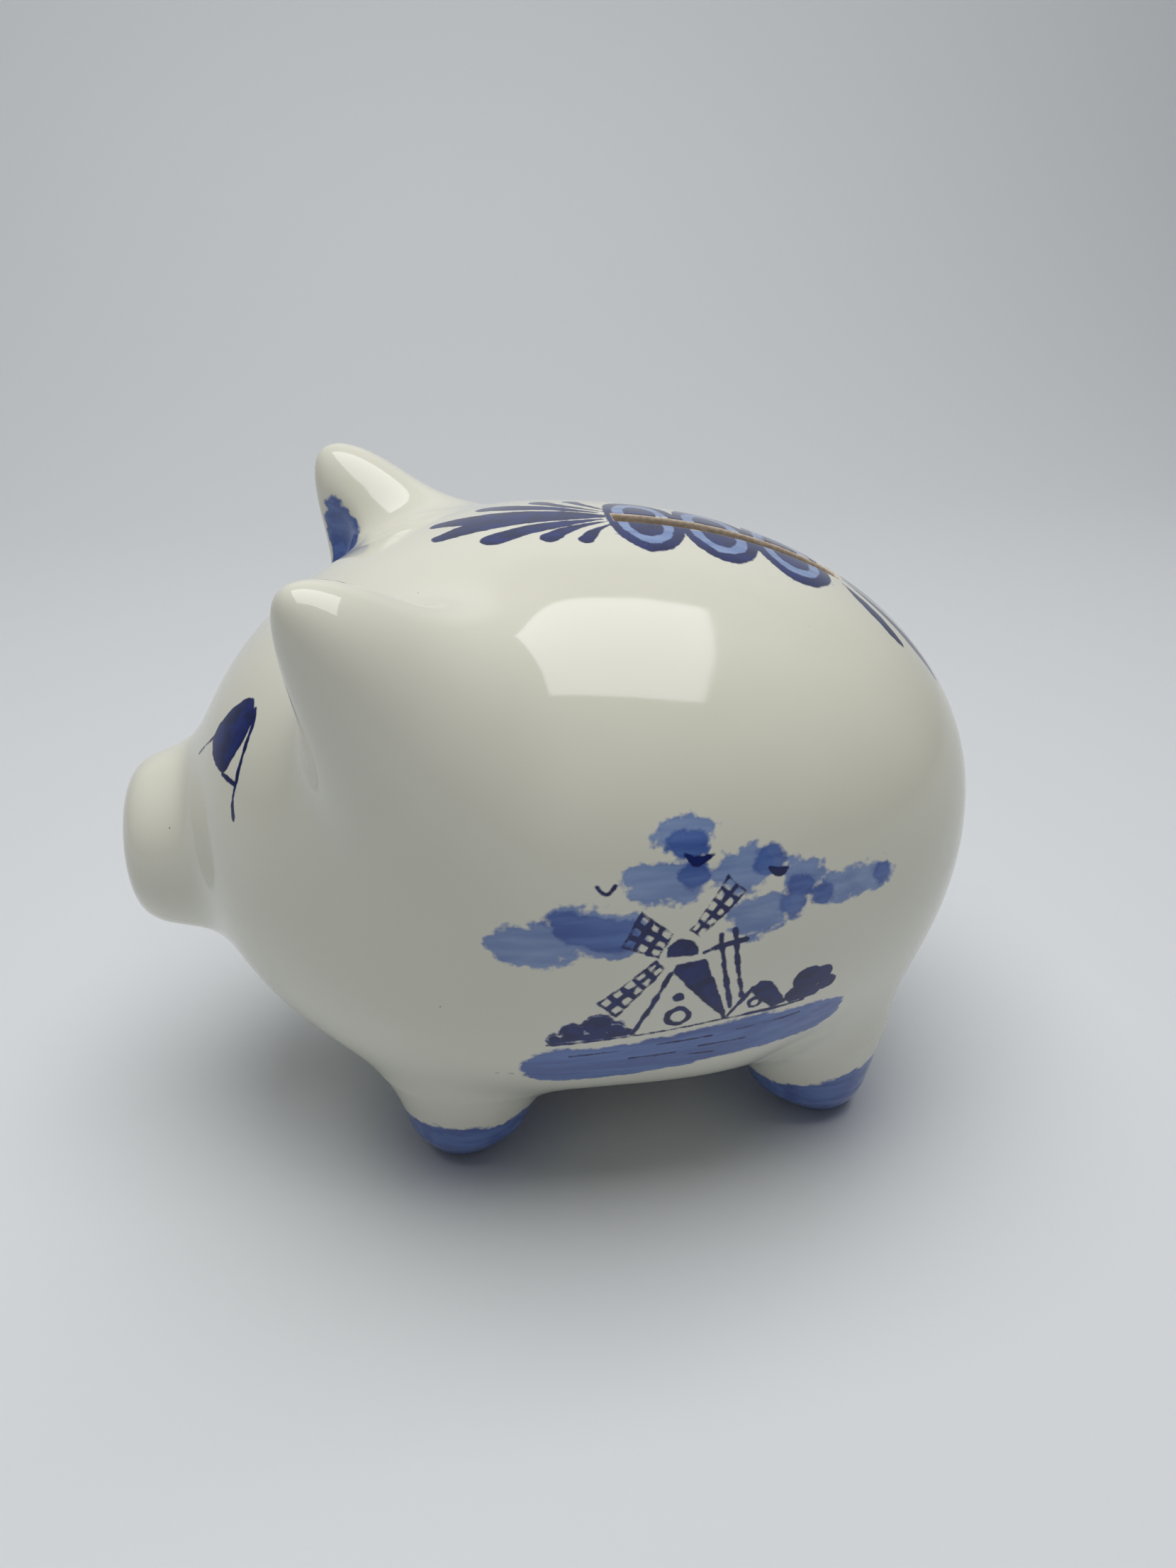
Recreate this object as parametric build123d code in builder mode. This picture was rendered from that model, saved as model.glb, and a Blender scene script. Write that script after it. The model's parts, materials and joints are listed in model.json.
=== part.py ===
"""Delft-style ceramic piggy bank.

A hollow slip-cast body carries a snout, two ears, four feet and a tail that are luted on
before firing, so each of them ends exactly on the body's outer surface. A coin slot is cut
through the back. A rubber stopper closes the hole in the belly and pulls out downwards.

Millimetres. The pig faces -X, its left side is -Y, +Z is up. The origin is on the ground,
under the middle of the whole pig.
"""

from build123d import *
import math
import os

# ---------------------------------------------------------------- driving dimensions
BODY_LENGTH = 121.0        # egg-shaped body alone, without snout and tail
BODY_WIDTH = 97.0
BODY_HEIGHT = 88.5
BODY_FULLNESS = 2.25       # exponent of the side outline: 2 is an ellipse, more is squarer
BELLY_CLEARANCE = 8.0      # from the ground to the lowest point of the belly
WALL = 4.5                 # thickness of the cast clay

SNOUT_REACH = 9.5          # how far the snout's disc stands ahead of the body
SNOUT_RADIUS = 14.0
SNOUT_HEIGHT = 48.0        # height of the snout's axis above the ground
SNOUT_ROUNDING = 6.0       # rounded rim of the disc
NOSTRIL_RADIUS = 2.0
NOSTRIL_DEPTH = 1.2
NOSTRIL_SPACING = 11.0

EAR_AHEAD = 23.0           # ear roots ahead of the body's middle
EAR_ANGLE = 50.0           # degrees down from the top, seen along the body
EAR_SPAN = 36.0            # root length, from the crown to the cheek
EAR_ROOT_THICKNESS = 18.0
EAR_LENGTH = 21.0          # from the root to the tip, square to the head
EAR_SWEEP = 10.5           # how far the tip leans towards the crown
EAR_TIP_RADIUS = 5.6
EAR_RIM = 2.5              # width of the rim round the hollow of the ear's front face
EAR_CUP_DEPTH = 2.4        # depth of that hollow
EAR_DIRECTION = (-0.80, 0.42, 0.42)         # the way the right ear stands out
EAR_ROOT_DIRECTION = (0.26, -0.39, 0.88)    # along its root, towards the crown

FRONT_FEET_AHEAD = 21.2    # from the body's middle to the axis of the front feet
REAR_FEET_BEHIND = 36.1
FRONT_FEET_TRACK = 41.0    # between the axes of the two front feet
REAR_FEET_TRACK = 36.0
FRONT_FEET_LEAN = 1.2      # how far a front foot's pad is set ahead of its axis
REAR_FEET_LEAN = 2.5       # and a rear foot's pad behind it
FOOT_PAD_RADIUS = 4.2      # unglazed flat that the foot stands on
FOOT_SWELL_RADIUS = 7.4    # the foot widens quickly just above the pad
FOOT_SWELL_HEIGHT = 2.5
FOOT_RADIUS = 9.8          # at the painted edge
FOOT_PAINT_HEIGHT = 6.0
FOOT_ROOT_RADIUS = 12.5    # where the foot has run out into the belly
FOOT_ROOT_HEIGHT = 22.0

TAIL_RELIEF = 1.0          # how far the tail stands out from the rump
TAIL_STROKE = 3.2          # width of the tail's stroke
TAIL_BENDS = 3             # it snakes up the rump
TAIL_BEND_HEIGHT = 5.0
TAIL_SWING = 2.4           # how far each bend swings to the side

SLOT_LENGTH = 34.5
SLOT_WIDTH = 4.4
SLOT_BEHIND = 22.5         # slot's middle behind the body's middle

HOLE_RADIUS = 14.0         # belly hole
SEAT_DEPTH = 3.2           # flat seat for the stopper's flange, above the belly's lowest point
FLANGE_THICKNESS = 2.4
FLANGE_LIP = 3.0           # how far the flange reaches past the edge of the hole
STEM_LENGTH = 6.5
STEM_TAPER = 0.8           # loss of radius along the stem
STEM_WALL = 3.3            # of the hollow stem, at its root
STOPPER_GAP = 0.2          # all round the stopper
GRIP_WIDTH = 3.0           # bar across the flange's dished underside, for two fingers
GRIP_DISH_RIM = 6.0        # flat rim left round the dish
GRIP_DISH_DEPTH = 1.4

# ---------------------------------------------------------------- places that follow
OVERALL_LENGTH = SNOUT_REACH + BODY_LENGTH + TAIL_RELIEF
MIDDLE_X = SNOUT_REACH + BODY_LENGTH / 2 - OVERALL_LENGTH / 2
MIDDLE_Z = BELLY_CLEARANCE + BODY_HEIGHT / 2
SNOUT_X = MIDDLE_X - BODY_LENGTH / 2 - SNOUT_REACH
SEAT_Z = BELLY_CLEARANCE + SEAT_DEPTH
HOLE_X = MIDDLE_X
FLANGE_RADIUS = HOLE_RADIUS + FLANGE_LIP
STEM_ROOT_RADIUS = HOLE_RADIUS - STOPPER_GAP
STEM_HOLLOW_RADIUS = STEM_ROOT_RADIUS - STEM_WALL
STOPPER_TOP = SEAT_Z - STOPPER_GAP         # upper face of the flange
GRIP_DISH_RADIUS = FLANGE_RADIUS - GRIP_DISH_RIM
STATIONS = (4, 20, 38, 56, 74, 90, 106, 124, 142, 160, 176)    # degrees along the outline


def outline(degrees):
    """Place along the body and size across it, as shares of the half sizes."""
    along = math.cos(math.radians(degrees))
    across = math.sin(math.radians(degrees))
    power = 2 / BODY_FULLNESS
    return math.copysign(abs(along) ** power, along), across**power


def ovoid(grow):
    """The body's egg shape, with its surface moved outwards by grow."""
    half_length = BODY_LENGTH / 2 + grow
    half_width = BODY_WIDTH / 2 + grow
    half_height = BODY_HEIGHT / 2 + grow
    rings = []
    for degrees in STATIONS:
        along, across = outline(degrees)
        place = Plane.YZ.offset(MIDDLE_X + half_length * along)
        with BuildSketch(place) as ring:
            with Locations((0, MIDDLE_Z)):
                Ellipse(half_width * across, half_height * across)
        rings.append(ring.sketch)
    with BuildPart() as egg:
        loft(sections=rings)
    return egg.part


def body_surface(ahead, angle):
    """Point of the body's outer surface, angle degrees from the top towards +Y."""
    share = (1 - abs(ahead / (BODY_LENGTH / 2)) ** BODY_FULLNESS) ** (1 / BODY_FULLNESS)
    turn = math.radians(angle)
    radius = share / math.hypot(
        math.sin(turn) / (BODY_WIDTH / 2), math.cos(turn) / (BODY_HEIGHT / 2)
    )
    return Vector(
        MIDDLE_X - ahead,
        radius * math.sin(turn),
        MIDDLE_Z + radius * math.cos(turn),
    )


outer_egg = ovoid(0)
inner_egg = ovoid(-WALL)

# ---------------------------------------------------------------- body shell
with BuildPart() as body_shell:
    add(outer_egg)
    add(inner_egg, mode=Mode.SUBTRACT)
    # coin slot, straight down through the back
    with BuildSketch(Plane.XY.offset(MIDDLE_Z)):
        with Locations((MIDDLE_X + SLOT_BEHIND, 0)):
            Rectangle(SLOT_LENGTH, SLOT_WIDTH)
    extrude(amount=BODY_HEIGHT / 2 + 1, mode=Mode.SUBTRACT)
    # belly hole, and the flat seat round it
    with BuildSketch(Plane.XY):
        with Locations((HOLE_X, 0)):
            Circle(HOLE_RADIUS)
    extrude(amount=MIDDLE_Z, mode=Mode.SUBTRACT)
    with BuildSketch(Plane.XY):
        with Locations((HOLE_X, 0)):
            Circle(FLANGE_RADIUS + STOPPER_GAP)
    extrude(amount=SEAT_Z, mode=Mode.SUBTRACT)
body_shell.part.label = "body_shell"

# ---------------------------------------------------------------- snout
SNOUT_AXIS = Axis((0, 0, SNOUT_HEIGHT), (1, 0, 0))
with BuildPart() as snout:
    with BuildSketch(Plane.XZ):
        with BuildLine():
            Line((SNOUT_X, SNOUT_HEIGHT), (SNOUT_X, SNOUT_HEIGHT + SNOUT_RADIUS - SNOUT_ROUNDING))
            RadiusArc(
                (SNOUT_X, SNOUT_HEIGHT + SNOUT_RADIUS - SNOUT_ROUNDING),
                (SNOUT_X + SNOUT_ROUNDING, SNOUT_HEIGHT + SNOUT_RADIUS),
                SNOUT_ROUNDING,
            )
            Polyline(
                (SNOUT_X + SNOUT_ROUNDING, SNOUT_HEIGHT + SNOUT_RADIUS),
                (MIDDLE_X, SNOUT_HEIGHT + SNOUT_RADIUS),
                (MIDDLE_X, SNOUT_HEIGHT),
                (SNOUT_X, SNOUT_HEIGHT),
            )
        make_face()
    revolve(axis=SNOUT_AXIS)
    with BuildSketch(Plane.YZ.offset(SNOUT_X)):
        with Locations((NOSTRIL_SPACING / 2, SNOUT_HEIGHT), (-NOSTRIL_SPACING / 2, SNOUT_HEIGHT)):
            Circle(NOSTRIL_RADIUS)
    extrude(amount=NOSTRIL_DEPTH, mode=Mode.SUBTRACT)
    add(outer_egg, mode=Mode.SUBTRACT)
snout.part.label = "snout"


# ---------------------------------------------------------------- ears
def ear_cone(rim, root_forward, tip_forward):
    """Oblique cone with a rounded tip, standing on the head's right side (+Y).

    It is smaller than the whole ear by rim all round, and moved across its thin direction,
    towards its front face, by root_forward at the root and tip_forward at the tip.
    """
    stands = Vector(*EAR_DIRECTION).normalized()
    crownwards = Vector(*EAR_ROOT_DIRECTION)
    crownwards = (crownwards - stands * crownwards.dot(stands)).normalized()
    across = crownwards.cross(stands)
    root = body_surface(EAR_AHEAD, EAR_ANGLE)
    length = EAR_LENGTH - rim
    tip = EAR_TIP_RADIUS - rim / 2
    rings = []
    for share in (-EAR_SPAN / 2 / length, 0.0, 0.3, 0.6, 0.82, 0.94, 0.99):
        rise = max(0.0, share)
        rounding = math.sqrt(1 - rise**4)
        half_span = rounding * (tip + (EAR_SPAN / 2 - rim - tip) * (1 - rise))
        half_thick = rounding * (tip + (EAR_ROOT_THICKNESS / 2 - rim - tip) * (1 - rise))
        forward = root_forward + (tip_forward - root_forward) * rise
        middle = root + stands * (length * share) + crownwards * (EAR_SWEEP * share) + across * forward
        with BuildSketch(Plane(origin=middle, x_dir=crownwards, z_dir=stands)) as ring:
            Ellipse(half_span, half_thick)
        rings.append(ring.sketch)
    with BuildPart() as cone:
        loft(sections=rings)
    return cone.part


ear_solid = ear_cone(0, 0, 0)
cup_root = EAR_ROOT_THICKNESS - EAR_RIM - EAR_CUP_DEPTH
cup_tip = 2 * EAR_TIP_RADIUS - EAR_RIM / 2 - EAR_CUP_DEPTH / 2
ear_cup = ear_cone(EAR_RIM, cup_root, cup_tip)

with BuildPart() as ear_right:
    add(ear_solid)
    add(ear_cup, mode=Mode.SUBTRACT)
    add(outer_egg, mode=Mode.SUBTRACT)
ear_right.part.label = "ear_right"

with BuildPart() as ear_left:
    add(ear_right.part)
    mirror(about=Plane.XZ, mode=Mode.REPLACE)
ear_left.part.label = "ear_left"

# ---------------------------------------------------------------- feet
FRONT_FOOT_X = MIDDLE_X - FRONT_FEET_AHEAD
REAR_FOOT_X = MIDDLE_X + REAR_FEET_BEHIND
FEET = {
    "foot_front_left": (FRONT_FOOT_X, -FRONT_FEET_TRACK / 2, -FRONT_FEET_LEAN),
    "foot_front_right": (FRONT_FOOT_X, FRONT_FEET_TRACK / 2, -FRONT_FEET_LEAN),
    "foot_rear_left": (REAR_FOOT_X, -REAR_FEET_TRACK / 2, REAR_FEET_LEAN),
    "foot_rear_right": (REAR_FOOT_X, REAR_FEET_TRACK / 2, REAR_FEET_LEAN),
}
FOOT_RINGS = (
    (0, FOOT_PAD_RADIUS),
    (FOOT_SWELL_HEIGHT, FOOT_SWELL_RADIUS),
    (FOOT_PAINT_HEIGHT, FOOT_RADIUS),
    (FOOT_ROOT_HEIGHT, FOOT_ROOT_RADIUS),
)


def foot_stub(x, y, lean):
    """Round stub that widens upwards, from its pad on the ground into the body."""
    rings = []
    for height, radius in FOOT_RINGS:
        shift = lean * max(0, 1 - height / FOOT_PAINT_HEIGHT)
        with BuildSketch(Plane.XY.offset(height)) as ring:
            with Locations((x + shift, y)):
                Circle(radius)
        rings.append(ring.sketch)
    with BuildPart() as stub:
        loft(sections=rings)
        with BuildSketch(Plane.XY.offset(FOOT_ROOT_HEIGHT)):
            with Locations((x, y)):
                Circle(FOOT_ROOT_RADIUS)
        extrude(amount=MIDDLE_Z - FOOT_ROOT_HEIGHT)
        add(outer_egg, mode=Mode.SUBTRACT)
        # room for the stopper's flange beside the foot
        with BuildSketch(Plane.XY):
            with Locations((HOLE_X, 0)):
                Circle(FLANGE_RADIUS + STOPPER_GAP)
        extrude(amount=SEAT_Z, mode=Mode.SUBTRACT)
    return stub.part


feet = []
for name, (foot_x, foot_y, foot_lean) in FEET.items():
    foot = foot_stub(foot_x, foot_y, foot_lean)
    foot.label = name
    feet.append(foot)

# ---------------------------------------------------------------- tail
with BuildPart() as tail:
    with BuildSketch(Plane.YZ.offset(MIDDLE_X)):
        with BuildLine():
            for bend in range(TAIL_BENDS):
                low = MIDDLE_Z + bend * TAIL_BEND_HEIGHT
                side = TAIL_SWING if bend % 2 else -TAIL_SWING
                ThreePointArc(
                    (0, low), (side, low + TAIL_BEND_HEIGHT / 2), (0, low + TAIL_BEND_HEIGHT)
                )
        trace(line_width=TAIL_STROKE)
        with Locations((0, MIDDLE_Z), (0, MIDDLE_Z + TAIL_BENDS * TAIL_BEND_HEIGHT)):
            Circle(TAIL_STROKE / 2)
    extrude(amount=BODY_LENGTH)
    add(ovoid(TAIL_RELIEF), mode=Mode.INTERSECT)
    add(outer_egg, mode=Mode.SUBTRACT)
tail.part.label = "tail"

# ---------------------------------------------------------------- stopper
with BuildPart() as stopper:
    with BuildSketch(Plane.XZ):
        with BuildLine():
            Polyline(
                (HOLE_X, STOPPER_TOP - FLANGE_THICKNESS),
                (HOLE_X + FLANGE_RADIUS, STOPPER_TOP - FLANGE_THICKNESS),
                (HOLE_X + FLANGE_RADIUS, STOPPER_TOP),
                (HOLE_X + STEM_ROOT_RADIUS, STOPPER_TOP),
                (HOLE_X + STEM_ROOT_RADIUS - STEM_TAPER, STOPPER_TOP + STEM_LENGTH),
                (HOLE_X + STEM_HOLLOW_RADIUS, STOPPER_TOP + STEM_LENGTH),
                (HOLE_X + STEM_HOLLOW_RADIUS, STOPPER_TOP),
                (HOLE_X, STOPPER_TOP),
                (HOLE_X, STOPPER_TOP - FLANGE_THICKNESS),
            )
        make_face()
    revolve(axis=Axis((HOLE_X, 0, 0), (0, 0, 1)))
    # dished underside with a bar left standing across it
    with BuildSketch(Plane.XY.offset(STOPPER_TOP - FLANGE_THICKNESS)):
        with Locations((HOLE_X, 0)):
            Circle(GRIP_DISH_RADIUS)
            Rectangle(GRIP_WIDTH, 2 * GRIP_DISH_RADIUS, mode=Mode.SUBTRACT)
    extrude(amount=GRIP_DISH_DEPTH, mode=Mode.SUBTRACT)
stopper.part.label = "stopper"

# ---------------------------------------------------------------- files
os.makedirs("parts", exist_ok=True)
pieces = [body_shell.part, snout.part, ear_left.part, ear_right.part, tail.part, stopper.part]
for piece in [*pieces, *feet]:
    export_step(piece, f"parts/{piece.label}.step")
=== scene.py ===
"""Looks of the painted ceramic piggy bank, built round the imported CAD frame.

The clay is one smooth surface, described by a signed field in millimetres: an egg-shaped
body, blended into snout, ears and feet, with the slot and the belly hole cut out. The field is
meshed, refined where paint needs it, and cut into one piece for each CAD node.
"""

import json
import math

import bpy
import numpy as np
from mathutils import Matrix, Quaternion, Vector


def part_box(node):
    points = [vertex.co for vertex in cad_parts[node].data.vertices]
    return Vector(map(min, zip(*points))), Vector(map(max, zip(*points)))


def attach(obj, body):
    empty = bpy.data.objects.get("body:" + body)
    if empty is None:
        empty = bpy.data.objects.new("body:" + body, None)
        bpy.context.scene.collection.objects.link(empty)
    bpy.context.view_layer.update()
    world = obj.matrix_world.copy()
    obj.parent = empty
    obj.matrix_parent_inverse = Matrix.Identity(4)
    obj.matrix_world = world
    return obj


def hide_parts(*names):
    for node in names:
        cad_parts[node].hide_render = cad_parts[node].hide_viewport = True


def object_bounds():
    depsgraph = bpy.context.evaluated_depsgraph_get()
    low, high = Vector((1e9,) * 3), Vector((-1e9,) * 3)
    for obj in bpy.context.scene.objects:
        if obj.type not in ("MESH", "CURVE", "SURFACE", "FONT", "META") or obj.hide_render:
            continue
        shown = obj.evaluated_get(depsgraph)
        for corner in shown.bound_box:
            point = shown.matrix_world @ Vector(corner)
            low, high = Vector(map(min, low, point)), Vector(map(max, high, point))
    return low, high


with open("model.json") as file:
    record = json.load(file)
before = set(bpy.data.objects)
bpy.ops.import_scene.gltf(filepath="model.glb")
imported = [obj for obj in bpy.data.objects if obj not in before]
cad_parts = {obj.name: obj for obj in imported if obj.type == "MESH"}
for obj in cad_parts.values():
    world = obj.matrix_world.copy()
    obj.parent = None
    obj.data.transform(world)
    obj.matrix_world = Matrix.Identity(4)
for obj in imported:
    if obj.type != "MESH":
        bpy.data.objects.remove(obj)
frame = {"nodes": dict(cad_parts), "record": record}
cad_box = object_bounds()
record = frame["record"]
MM = 0.001


# ---------------------------------------------------------------- sizes from the frame, in mm
def box_mm(node):
    low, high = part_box(node)
    return np.array(low) / MM, np.array(high) / MM


def opening_mm(name):
    for opening in record["physics"]["openings"]:
        if opening["name"] == name:
            return np.array(opening["box_m"]) / MM
    raise KeyError(name)


def mount_mm(name):
    for mount in record["mounts"]:
        if mount["name"] == name:
            return np.array(mount["pos_m"]) / MM
    raise KeyError(name)


body_low, body_high = box_mm("body_shell")
snout_low, snout_high = box_mm("snout")
stopper_low, stopper_high = box_mm("stopper")
slot_box = opening_mm("coin_slot")

HALF_HEIGHT = 44.25
HALF = np.array([(body_high[0] - body_low[0]) / 2, body_high[1], HALF_HEIGHT])
CENTRE = np.array([(body_low[0] + body_high[0]) / 2, 0, body_high[2] - HALF_HEIGHT])
WALL = 4.5
FULLNESS = 2.25                             # of the side outline, towards the rump
HEAD_FULLNESS = 2.12                        # and towards the snout
SECTION = 2.15                              # of the section across
LIP = 0.9                                   # rounding of the glaze at cut edges

SNOUT_FRONT = snout_low[0] - 0.8            # the glazed bun bulges this far past the plain disc
SNOUT_RADIUS = (snout_high[2] - snout_low[2]) / 2
SNOUT_Z = (snout_high[2] + snout_low[2]) / 2
SNOUT_EDGE = 6.5
SNOUT_BLEND = 11.0

EAR_AHEAD = 25.5
EAR_ANGLE = 55.0
EAR_SPAN = 33.0
EAR_THICK = 20.0
EAR_LENGTH = 22.0
EAR_SWEEP = 14.0
EAR_TIP = 6.8
EAR_RIM = 1.6
EAR_CUP = 3.0
EAR_BLEND = 18.0
EAR_PAINT = 0.4                             # the blue goes this far over the rim
EAR_EASE = 0.06                             # softens the turn from the cone to its sunk end
EAR_SUNK = 0.6                              # how far the cone goes on inside the head
EAR_OUT = np.array([-0.80, 0.42, 0.42])
EAR_ALONG = np.array([0.26, -0.39, 0.88])

FRONT_PAD = mount_mm("front_right_pad")[:2]
REAR_PAD = mount_mm("rear_right_pad")[:2]
FRONT_LEAN = 1.2                            # the pad stands this far ahead of the foot's axis
REAR_LEAN = -2.5
PAD_RADIUS = 4.2
FOOT_RADIUS = 9.8
FOOT_LEVEL = 6.0                            # where the foot has that radius
FOOT_FLARE = 0.2                            # above that level
FOOT_EDGE = 2.5
FOOT_BLEND = 11.0

FOOT_PAINT = 10.6                           # height of the painted edge
PAD_BARE = 0.25                             # unglazed up to this height
NOSTRIL_OUT = 5.5
NOSTRIL_RADIUS = 2.4
NOSTRIL_DENT = 0.9
NOSTRIL_PAINT = 1.7

TAIL_RELIEF = 1.0
TAIL_STROKE = 3.2
TAIL_BENDS = 3
TAIL_BEND_HEIGHT = 5.0
TAIL_SWING = 2.4

SLOT_X = (slot_box[0, 0] + slot_box[1, 0]) / 2
SLOT_HALF_LENGTH = (slot_box[1, 0] - slot_box[0, 0]) / 2 + 0.25
SLOT_HALF_WIDTH = 2.0
HOLE_RADIUS = 14.0
SEAT_RADIUS = 17.2
HOLE_X = (stopper_low[0] + stopper_high[0]) / 2
SEAT_Z = stopper_low[2] + 2.4 + 0.2


# ---------------------------------------------------------------- fields
def smooth_min(a, b, k):
    """The smaller of two fields, rounded off where they are within k of each other."""
    h = np.maximum(k - np.abs(a - b), 0) / k
    return np.minimum(a, b) - h**3 * k / 6


def smooth_max(a, b, k):
    return -smooth_min(-a, -b, k)


def unit(v):
    return v / np.linalg.norm(v)


def egg(p, grow=0.0):
    """Distance-like field of the body: side outline and section are superellipses."""
    q = p - CENTRE
    half = HALF + grow
    u = q[:, 0] / half[0]
    bounded = np.clip(u, -1.1, 1.1)
    # the back is fuller over the head and falls towards the rump; the belly is full all along
    upper = 1.006 - 0.060 * bounded - 0.055 * bounded**2 + 0.024 * bounded**3
    lower = 1 + 0.045 * np.sin(np.pi * bounded) ** 2
    side = 1 / (1 + np.exp(-q[:, 2] / 6.0))
    tall = half[2] * (lower + (upper - lower) * side)
    v = np.abs(q[:, 1]) / half[1]
    w = np.abs(q[:, 2]) / tall
    across = (v**SECTION + w**SECTION + 1e-12) ** (1 / SECTION)
    headwards = np.clip(-u / 0.4, 0, 1)
    full = FULLNESS + (HEAD_FULLNESS - FULLNESS) * headwards**2 * (3 - 2 * headwards)
    r = (np.abs(u) ** full + across**full + 1e-12) ** (1 / full)
    du = (np.abs(u) / r) ** (full - 1) / half[0]
    da = (across / r) ** (full - 1)
    dv = da * (v / across) ** (SECTION - 1) / half[1]
    dw = da * (w / across) ** (SECTION - 1) / tall
    return (r - 1) / np.sqrt(du**2 + dv**2 + dw**2)


def snout_field(p):
    """Short round bun whose axis runs along X."""
    away = np.hypot(p[:, 1], p[:, 2] - SNOUT_Z)
    side = away - SNOUT_RADIUS - 0.02 * np.maximum(p[:, 0] - SNOUT_FRONT - 6, 0)
    front = SNOUT_FRONT - p[:, 0]
    rear = p[:, 0] - (SNOUT_FRONT + 30)
    return smooth_max(smooth_max(side, front, 2 * SNOUT_EDGE), rear, 1.0)


def ear_root():
    share = (1 - (EAR_AHEAD / HALF[0]) ** HEAD_FULLNESS) ** (1 / HEAD_FULLNESS)
    turn = math.radians(EAR_ANGLE)
    radius = share / math.hypot(math.sin(turn) / HALF[1], math.cos(turn) / HALF[2])
    place = [-EAR_AHEAD, radius * math.sin(turn), radius * math.cos(turn)]
    return CENTRE * [1, 0, 1] + place


EAR_OUT = unit(EAR_OUT)
EAR_ALONG = unit(EAR_ALONG - EAR_OUT * EAR_ALONG.dot(EAR_OUT))
EAR_ACROSS = np.cross(EAR_ALONG, EAR_OUT)
EAR_ROOT = ear_root()


def ear_cone(p, rim, root_forward, tip_forward):
    """Oblique rounded cone of the right ear, smaller by rim and moved towards the front."""
    length = EAR_LENGTH - rim
    tip = EAR_TIP - rim / 2

    def norm(x):
        q = x - EAR_ROOT
        rise = q @ EAR_OUT / length
        over = 0.5 * (rise + np.sqrt(rise**2 + EAR_EASE))
        below = (rise - over) / EAR_SUNK
        along = q @ EAR_ALONG - EAR_SWEEP * over
        across = q @ EAR_ACROSS - (root_forward + (tip_forward - root_forward) * over)
        span = np.maximum(tip + (EAR_SPAN / 2 - rim - tip) * (1 - over), 1.0)
        thick = np.maximum(tip + (EAR_THICK / 2 - rim - tip) * (1 - over), 1.0)
        return np.sqrt((along / span) ** 2 + (across / thick) ** 2 + over**4 + below**4 + 1e-6)

    step = 0.05
    slope = [(norm(p + step * axis) - norm(p - step * axis)) / (2 * step) for axis in np.eye(3)]
    steep = np.sqrt(sum(s**2 for s in slope))
    return (norm(p) - 1) / np.maximum(steep, 0.02)


CUP_ROOT = EAR_THICK - EAR_RIM - EAR_CUP
CUP_TIP = 2 * EAR_TIP - EAR_RIM / 2 - EAR_CUP / 2


def ear_fields(p):
    """The whole ear, and the cone that hollows its front."""
    return ear_cone(p, 0.0, 0.0, 0.0), ear_cone(p, EAR_RIM, CUP_ROOT, CUP_TIP)


def foot_field(p, pad, lean):
    """Stub that widens quickly from its pad to the painted edge, and slowly above it."""
    share = np.clip(p[:, 2] / FOOT_LEVEL, 0.02, 1)
    away = np.hypot(p[:, 0] - pad[0] - lean * share, p[:, 1] - pad[1])
    above = np.clip(p[:, 2] - FOOT_LEVEL, 0, 12)
    radius = PAD_RADIUS + (FOOT_RADIUS - PAD_RADIUS) * share**0.7 + FOOT_FLARE * above
    side = (away - radius) / np.where(share < 1, 1.4, 1.02)
    return smooth_max(smooth_max(side, -p[:, 2], FOOT_EDGE), p[:, 2] - 45, 2.0)


def tail_distance(p):
    """Distance in the Y-Z plane from the snaking line of the tail."""
    best = np.full(len(p), 1e3)
    turns = np.linspace(0, TAIL_BENDS * math.pi, 40)
    for turn in turns:
        y = -TAIL_SWING * math.sin(turn)
        z = CENTRE[2] + turn / math.pi * TAIL_BEND_HEIGHT
        best = np.minimum(best, np.hypot(p[:, 1] - y, p[:, 2] - z))
    return best


def mirrored(p):
    """The clay is the same on both sides, so everything is worked out for +Y."""
    q = p.copy()
    q[:, 1] = np.abs(q[:, 1])
    return q


def clay_parts(p):
    """Fields of body, snout, ear and feet at points of the right half."""
    q = mirrored(p)
    body = egg(q)
    snout = snout_field(q)
    ear = np.full(len(q), 50.0)
    near = (q[:, 0] < CENTRE[0] + 15) & (q[:, 2] > 30)
    if near.any():
        cone, cup = ear_fields(q[near])
        ear[near] = smooth_max(cone, -cup, EAR_RIM * 1.6)
    front = foot_field(q, FRONT_PAD, FRONT_LEAN)
    rear = foot_field(q, REAR_PAD, REAR_LEAN)
    return body, snout, ear, front, rear


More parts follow.
